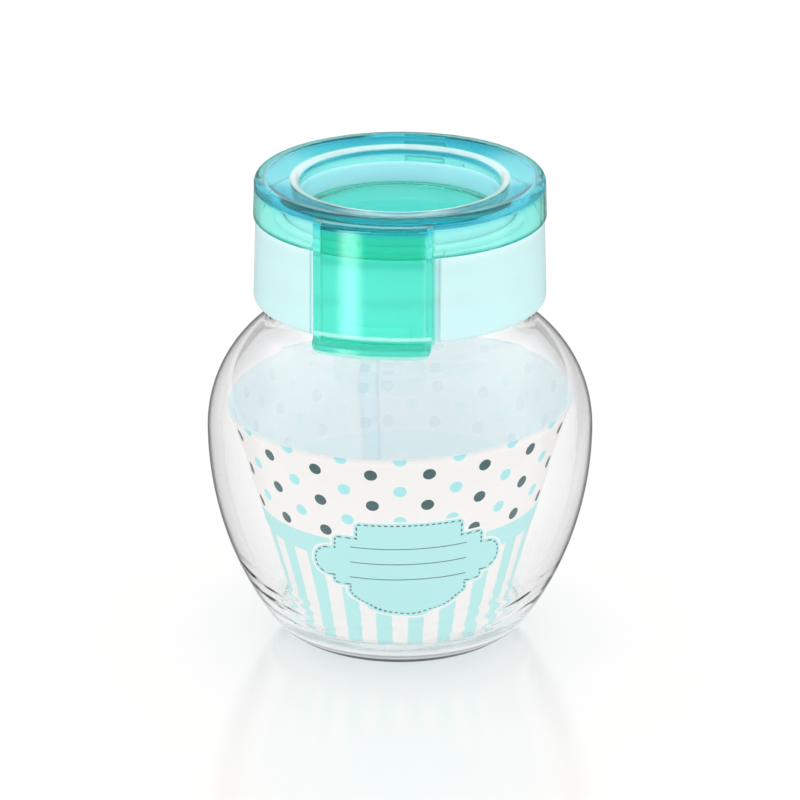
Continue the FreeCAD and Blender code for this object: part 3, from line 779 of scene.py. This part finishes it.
def turquoise_plastic():
    """Dyed clear plastic, tinted by its depth and given a tint part by part; some of these tints are painted
    shade, highlights and reflection.
    """
    finish, tree, shader = material("turquoise_plastic")
    shader.inputs["IOR"].default_value = LID_IOR
    east, north, up = place_on_piece(tree)
    height = up + Figure(tree, grain(tree, 70.0, 2.0)) * LID_UNEVENNESS
    radius = east.length_with(north)
    aside = east.by("ABSOLUTE")
    front = north < FRONT
    tab = aside.ramp(*TAB_SIDES) * front * radius.ramp(*TAB_OUT)
    tab_head = tab * height.ramp(*TAB_HEAD)
    tab_edge = aside.ramp(*TAB_EDGE_SIDES) * front * radius.ramp(*TAB_EDGE_OUT)
    # Painted shade darkens the tab's scoop; pale lines along its top and at the tab's foot are painted
    # highlights, also made less clear.
    scoop_shade = height.ramp(*SCOOP_TOP) * height.ramp(*SCOOP_FOOT) * tab
    scoop_highlight = (height - SCOOP_LINE_HEIGHT).by("ABSOLUTE").ramp(*SCOOP_LINE)
    scoop_highlight = scoop_highlight * tab * radius.ramp(*SCOOP_LINE_OUT)
    pale_highlights = scoop_highlight.by("MAXIMUM", height.ramp(*TAB_FOOT)) * PALE_LINE_SHARE
    skirt = height.ramp(*SKIRT_FOOT) * radius.ramp(*SKIRT_INSIDE) * radius.ramp(*SKIRT_OUTSIDE)
    # A dark band at the foot of the skirt is a painted shadow of the gap under it.
    hem_shadow = height.ramp(*HEM)
    well = height.ramp(*WELL_FOOT) * radius.ramp(*WELL_OUTSIDE)
    # A white ring round the well's edge is a painted highlight, also made less clear.
    well_edge_highlight = height.ramp(*WELL_EDGE_HEIGHT) * radius.ramp(*WELL_EDGE_OUTSIDE)
    rim = height.ramp(*RIM_HEIGHT)
    # The rim's blue, lighter towards the sides than at the front and back, is painted reflection.
    sideways = (aside / radius).ramp(*RIM_SIDES)
    skirt_tint = mixed(tree, hem_shadow.socket, colour(204, 253, 245), colour(64, 190, 172))
    rim_reflection_tint = mixed(tree, sideways.socket, colour(74, 188, 222), colour(128, 214, 240))
    shade = mixed(tree, skirt.socket, colour(122, 247, 226), skirt_tint)
    for share, tint in (
        (tab_head, colour(92, 230, 204)),
        (tab_edge * TAB_EDGE_SHARE, colour(186, 251, 241)),
        (scoop_shade * SCOOP_SHARE, colour(70, 214, 186)),
        (pale_highlights, colour(226, 252, 250)),
        (well, colour(226, 248, 255)),
        (rim, rim_reflection_tint),
        (well_edge_highlight, colour(246, 252, 255)),
    ):
        shade = mixed(tree, share.socket, shade, tint)
    tree.links.new(shade, shader.inputs["Base Color"])
    clearness = well_edge_highlight.by("MAXIMUM", pale_highlights) * -HIGHLIGHT_DIFFUSE_SHARE + LID_CLEARNESS
    tree.links.new(clearness.socket, shader.inputs["Transmission Weight"])
    tree.links.new(spread(tree, grain(tree, 400.0), 0.0, 0.03), shader.inputs["Roughness"])
    tinted_through(tree, LID_TINT, LID_DEPTH_OF_TINT)
    return finish


dress(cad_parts["lid"], turquoise_plastic())
passes_light(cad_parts["lid"])


# Lid seal
# Sleeve of translucent silicone, stretched over the lid's plug, that closes the collar's mouth.
# A flange at the foot of the plug keeps it on.
LID_SEAL_INNER = 21.2 * MM
LID_SEAL_ROUND = 0.45 * MM


def seal_silicone():
    finish, tree, shader = material("seal_silicone")
    cloud = grain(tree, 300.0, 3.0)
    milky = mixed(tree, cloud, colour(226, 243, 252), colour(212, 237, 250))
    tree.links.new(milky, shader.inputs["Base Color"])
    tree.links.new(spread(tree, cloud, 0.3, 0.45), shader.inputs["Roughness"])
    shader.inputs["IOR"].default_value = 1.41
    let_light_through(shader, 1.0, 1.5 * MM)
    return finish


seal_low, seal_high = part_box("lid_seal")
lid_seal = rounded_ring(
    "lid_seal_ring", LID_SEAL_INNER, seal_high.x, seal_low.z, seal_high.z, LID_SEAL_ROUND
)
dress(lid_seal, seal_silicone())
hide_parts("lid_seal")
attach(lid_seal, "lid_unit")


# Camera
# Long lens, a little above the jar and to the right of its tab.
CAMERA_AZIMUTH = math.radians(10.2)
CAMERA_ELEVATION = math.radians(20.6)
CAMERA_DISTANCE = 1.026
CAMERA_AIM = Vector((0.0, 0.0, 48.1 * MM))
CAMERA_LENS = 234.0

camera_data = bpy.data.cameras.new("camera")
camera_data.lens = CAMERA_LENS
camera = bpy.data.objects.new("camera", camera_data)
back = Vector((
    math.sin(CAMERA_AZIMUTH) * math.cos(CAMERA_ELEVATION),
    -math.cos(CAMERA_AZIMUTH) * math.cos(CAMERA_ELEVATION),
    math.sin(CAMERA_ELEVATION),
))
camera.location = CAMERA_AIM + back * CAMERA_DISTANCE
camera.rotation_euler = (-back).to_track_quat("-Z", "Y").to_euler()
bpy.context.scene.collection.objects.link(camera)
bpy.context.scene.camera = camera
bpy.context.scene.view_settings.view_transform = "Standard"


# Floor
# Smooth white table top that runs out of sight, with a faint sheen that mirrors the jar.
# Clear and glossy pieces see it white behind the jar and grey at its sides, ahead of it and round its foot,
# as painted shade that draws their edges.
# Each pair below gives where a shade starts and where it is full, to the side or away from the camera.
FLOOR_HALF = 4.0
FLOOR_IOR = 1.9
SHOWN_TO_CLEAR = 0.8
SHADE_IN_GLOSS = 0.94
GLOSS_SIDES = (26 * MM, 42 * MM)
GLOSS_AWAY = (-40 * MM, 0.0)
SHADE_AHEAD = 0.65
AHEAD_OF_JAR = (-70 * MM, -150 * MM)
SHADE_UNDER_FOOT = 0.9
UNDER_FOOT = (25 * MM, 21.5 * MM)
SHADE_IN_CLEAR_LEFT = 0.11
LEFT_START = (25 * MM, 85 * MM)
LEFT_FADE = (110 * MM, 190 * MM)
LEFT_FADE_SHARE = 0.6
SHADE_IN_CLEAR_RIGHT = 0.2
RIGHT_START = (70 * MM, 130 * MM)
RIGHT_FADE = (190 * MM, 260 * MM)
RIGHT_FADE_SHARE = 0.4
BEHIND_JAR = (-20 * MM, 60 * MM)
SHADE_AT_FOOT = 0.06
FOOT_SIDES = (14 * MM, 30 * MM)
FOOT_NEAR = (-45 * MM, -25 * MM)
FOOT_FAR = (70 * MM, 25 * MM)


def across_and_ahead(tree, coordinate):
    """A place or direction as the camera has it: how far to either side, how far away, how high."""
    place = tree.nodes.new("ShaderNodeTexCoord")
    parts = tree.nodes.new("ShaderNodeSeparateXYZ")
    tree.links.new(place.outputs[coordinate], parts.inputs["Vector"])
    east, north, up = [Figure(tree, parts.outputs[axis]) for axis in "XYZ"]
    aside = east * math.cos(CAMERA_AZIMUTH) + north * math.sin(CAMERA_AZIMUTH)
    ahead = north * math.cos(CAMERA_AZIMUTH) - east * math.sin(CAMERA_AZIMUTH)
    return aside, ahead, up


def seen_in_clear(tree):
    """Whether a surface is seen in gloss or through clear pieces, and whether through them."""
    path = tree.nodes.new("ShaderNodeLightPath")
    straight = Figure(tree, path.outputs["Diffuse Depth"]) < 0.5
    through = Figure(tree, path.outputs["Is Transmission Ray"])
    return Figure(tree, path.outputs["Is Glossy Ray"]).by("MAXIMUM", through) * straight, through


def shader_between(tree, share, first, second, output):
    node = tree.nodes.new("ShaderNodeMixShader")
    tree.links.new(share.socket, node.inputs[0])
    tree.links.new(first.outputs[0], node.inputs[1])
    tree.links.new(second.outputs[0], node.inputs[2])
    tree.links.new(node.outputs[0], tree.nodes[output].inputs["Surface"])


def white_table():
    """Satin white, with painted shade in what is seen in gloss or through clear pieces."""
    finish, tree, shader = material("white_table")
    fine = grain(tree, 40.0)
    white = mixed(tree, fine, (0.92, 0.9, 0.893, 1.0), (0.91, 0.89, 0.883, 1.0))
    tree.links.new(white, shader.inputs["Base Color"])
    tree.links.new(spread(tree, fine, 0.17, 0.2), shader.inputs["Roughness"])
    shader.inputs["IOR"].default_value = FLOOR_IOR
    aside, ahead = across_and_ahead(tree, "Object")[:2]
    seen, through = seen_in_clear(tree)
    mirrored = seen - through
    far_aside = aside.by("ABSOLUTE")
    to_left = aside * -1.0
    beside = far_aside.ramp(*GLOSS_SIDES) * ahead.ramp(*GLOSS_AWAY) * SHADE_IN_GLOSS
    in_front = ahead.ramp(*AHEAD_OF_JAR) * SHADE_AHEAD
    # A ring round the jar's foot seen in gloss is a painted contact shadow.
    contact_shadow = aside.length_with(ahead).ramp(*UNDER_FOOT) * SHADE_UNDER_FOOT
    left = to_left.ramp(*LEFT_START) * (to_left.ramp(*LEFT_FADE) * -LEFT_FADE_SHARE + 1.0)
    right = aside.ramp(*RIGHT_START) * (aside.ramp(*RIGHT_FADE) * -RIGHT_FADE_SHARE + 1.0)
    behind = (left * SHADE_IN_CLEAR_LEFT + right * SHADE_IN_CLEAR_RIGHT) * ahead.ramp(*BEHIND_JAR)
    foot = far_aside.ramp(*FOOT_SIDES) * ahead.ramp(*FOOT_NEAR) * ahead.ramp(*FOOT_FAR)
    shade = mirrored * beside.by("MAXIMUM", in_front).by("MAXIMUM", contact_shadow)
    shade = shade + through * (behind + foot * SHADE_AT_FOOT)
    panel = tree.nodes.new("ShaderNodeEmission")
    tree.links.new((shade * -1.0 + 1.0).socket, panel.inputs["Strength"])
    shader_between(tree, seen * SHOWN_TO_CLEAR, shader, panel, "Material Output")
    return finish


floor_mesh = bmesh.new()
bmesh.ops.create_grid(floor_mesh, x_segments=1, y_segments=1, size=FLOOR_HALF)
floor = finished("floor", floor_mesh)
dress(floor, white_table())


# Light
# An even white dome, grey low down behind at either side, with dark flags that only gloss shows.
# A narrow soft box at the left of the camera puts the highlight on the lid's tab alone.
# Each pair below gives where a light or shade starts and where it is full, as parts of a direction.
DOME_FRONT = 1.15
DOME_BACK = 1.16
DOME_DEPTH = (-1.0, 0.3)
PANEL_GREY = 0.45
PANEL_SIDES = (0.12, 0.35)
PANEL_DEPTH = (-0.1, 0.2)
PANEL_TOP = (0.35, 0.6)
ROOM_SHADE = 0.65
ROOM_DEPTH = (0.1, -0.5)
LOW_FLAG_SHADE = 0.75
LOW_FLAG_FOOT = (0.0, 0.06)
LOW_FLAG_TOP = (0.27, 0.2)
HIGH_FLAG_SHADE = 0.8
HIGH_FLAG_FOOT = (0.42, 0.52)
HIGH_FLAG_TOP = (0.92, 0.75)
FLAG_DEPTH = (0.0, 0.3)
FLAG_SIDES = (0.5, 0.25)
TAB_LIGHT_WIDTH = 78 * MM
TAB_LIGHT_HEIGHT = 50 * MM
TAB_LIGHT_POWER = 0.08
TAB_LIGHT_FADE = (0.5, 0.05)
TAB_LIGHT_PLACE = Vector((-76 * MM, -179 * MM, 22 * MM))
TAB_LIGHT_AIM = Vector((0.0, 0.0, 80 * MM))


def studio_dome():
    world = bpy.data.worlds.new("studio_dome")
    bpy.context.scene.world = world
    world.use_nodes = True
    tree = world.node_tree
    light = tree.nodes["Background"]
    aside, ahead, up = across_and_ahead(tree, "Generated")
    seen, through = seen_in_clear(tree)
    far_aside = aside.by("ABSOLUTE")
    below_top = up.ramp(*PANEL_TOP) * -1.0 + 1.0
    panels = far_aside.ramp(*PANEL_SIDES) * ahead.ramp(*PANEL_DEPTH) * below_top * seen
    level = ahead.ramp(*DOME_DEPTH) * (DOME_BACK - DOME_FRONT) + DOME_FRONT
    dark_room = ahead.ramp(*ROOM_DEPTH) * ROOM_SHADE
    low_flag = up.ramp(*LOW_FLAG_FOOT) * up.ramp(*LOW_FLAG_TOP) * LOW_FLAG_SHADE
    high_flag = up.ramp(*HIGH_FLAG_FOOT) * up.ramp(*HIGH_FLAG_TOP) * HIGH_FLAG_SHADE
    flags = (low_flag + high_flag) * ahead.ramp(*FLAG_DEPTH) * far_aside.ramp(*FLAG_SIDES)
    in_gloss = (dark_room + flags) * (seen - through)
    level = level * (panels * (PANEL_GREY - 1.0) + 1.0) * (in_gloss * -1.0 + 1.0)
    tree.links.new(level.socket, light.inputs["Strength"])
    backdrop = tree.nodes.new("ShaderNodeBackground")
    for panel in (light, backdrop):
        panel.inputs["Color"].default_value = (1.0, 1.0, 1.0, 1.0)
    path = tree.nodes.new("ShaderNodeLightPath")
    shader_between(tree, Figure(tree, path.outputs["Is Camera Ray"]), light, backdrop, "World Output")


def tab_light():
    """Soft box that lights the lid only, set low so that the upright tab mirrors it."""
    lamp = bpy.data.lights.new("tab_light", "AREA")
    lamp.shape = "RECTANGLE"
    lamp.size = TAB_LIGHT_WIDTH
    lamp.size_y = TAB_LIGHT_HEIGHT
    lamp.energy = TAB_LIGHT_POWER
    lamp.use_nodes = True
    tree = lamp.node_tree
    place = tree.nodes.new("ShaderNodeNewGeometry")
    parts = tree.nodes.new("ShaderNodeSeparateXYZ")
    tree.links.new(place.outputs["Parametric"], parts.inputs["Vector"])
    aside = (Figure(tree, parts.outputs["X"]) - 0.5).by("ABSOLUTE")
    tree.links.new(aside.ramp(*TAB_LIGHT_FADE).socket, tree.nodes["Emission"].inputs["Strength"])
    box = bpy.data.objects.new("tab_light", lamp)
    box.location = TAB_LIGHT_PLACE
    box.rotation_euler = (TAB_LIGHT_AIM - TAB_LIGHT_PLACE).to_track_quat("-Z", "Y").to_euler()
    lit = bpy.data.collections.new("lit_by_tab_light")
    lit.objects.link(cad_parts["lid"])
    box.light_linking.receiver_collection = lit
    bpy.context.scene.collection.objects.link(box)


studio_dome()
tab_light()
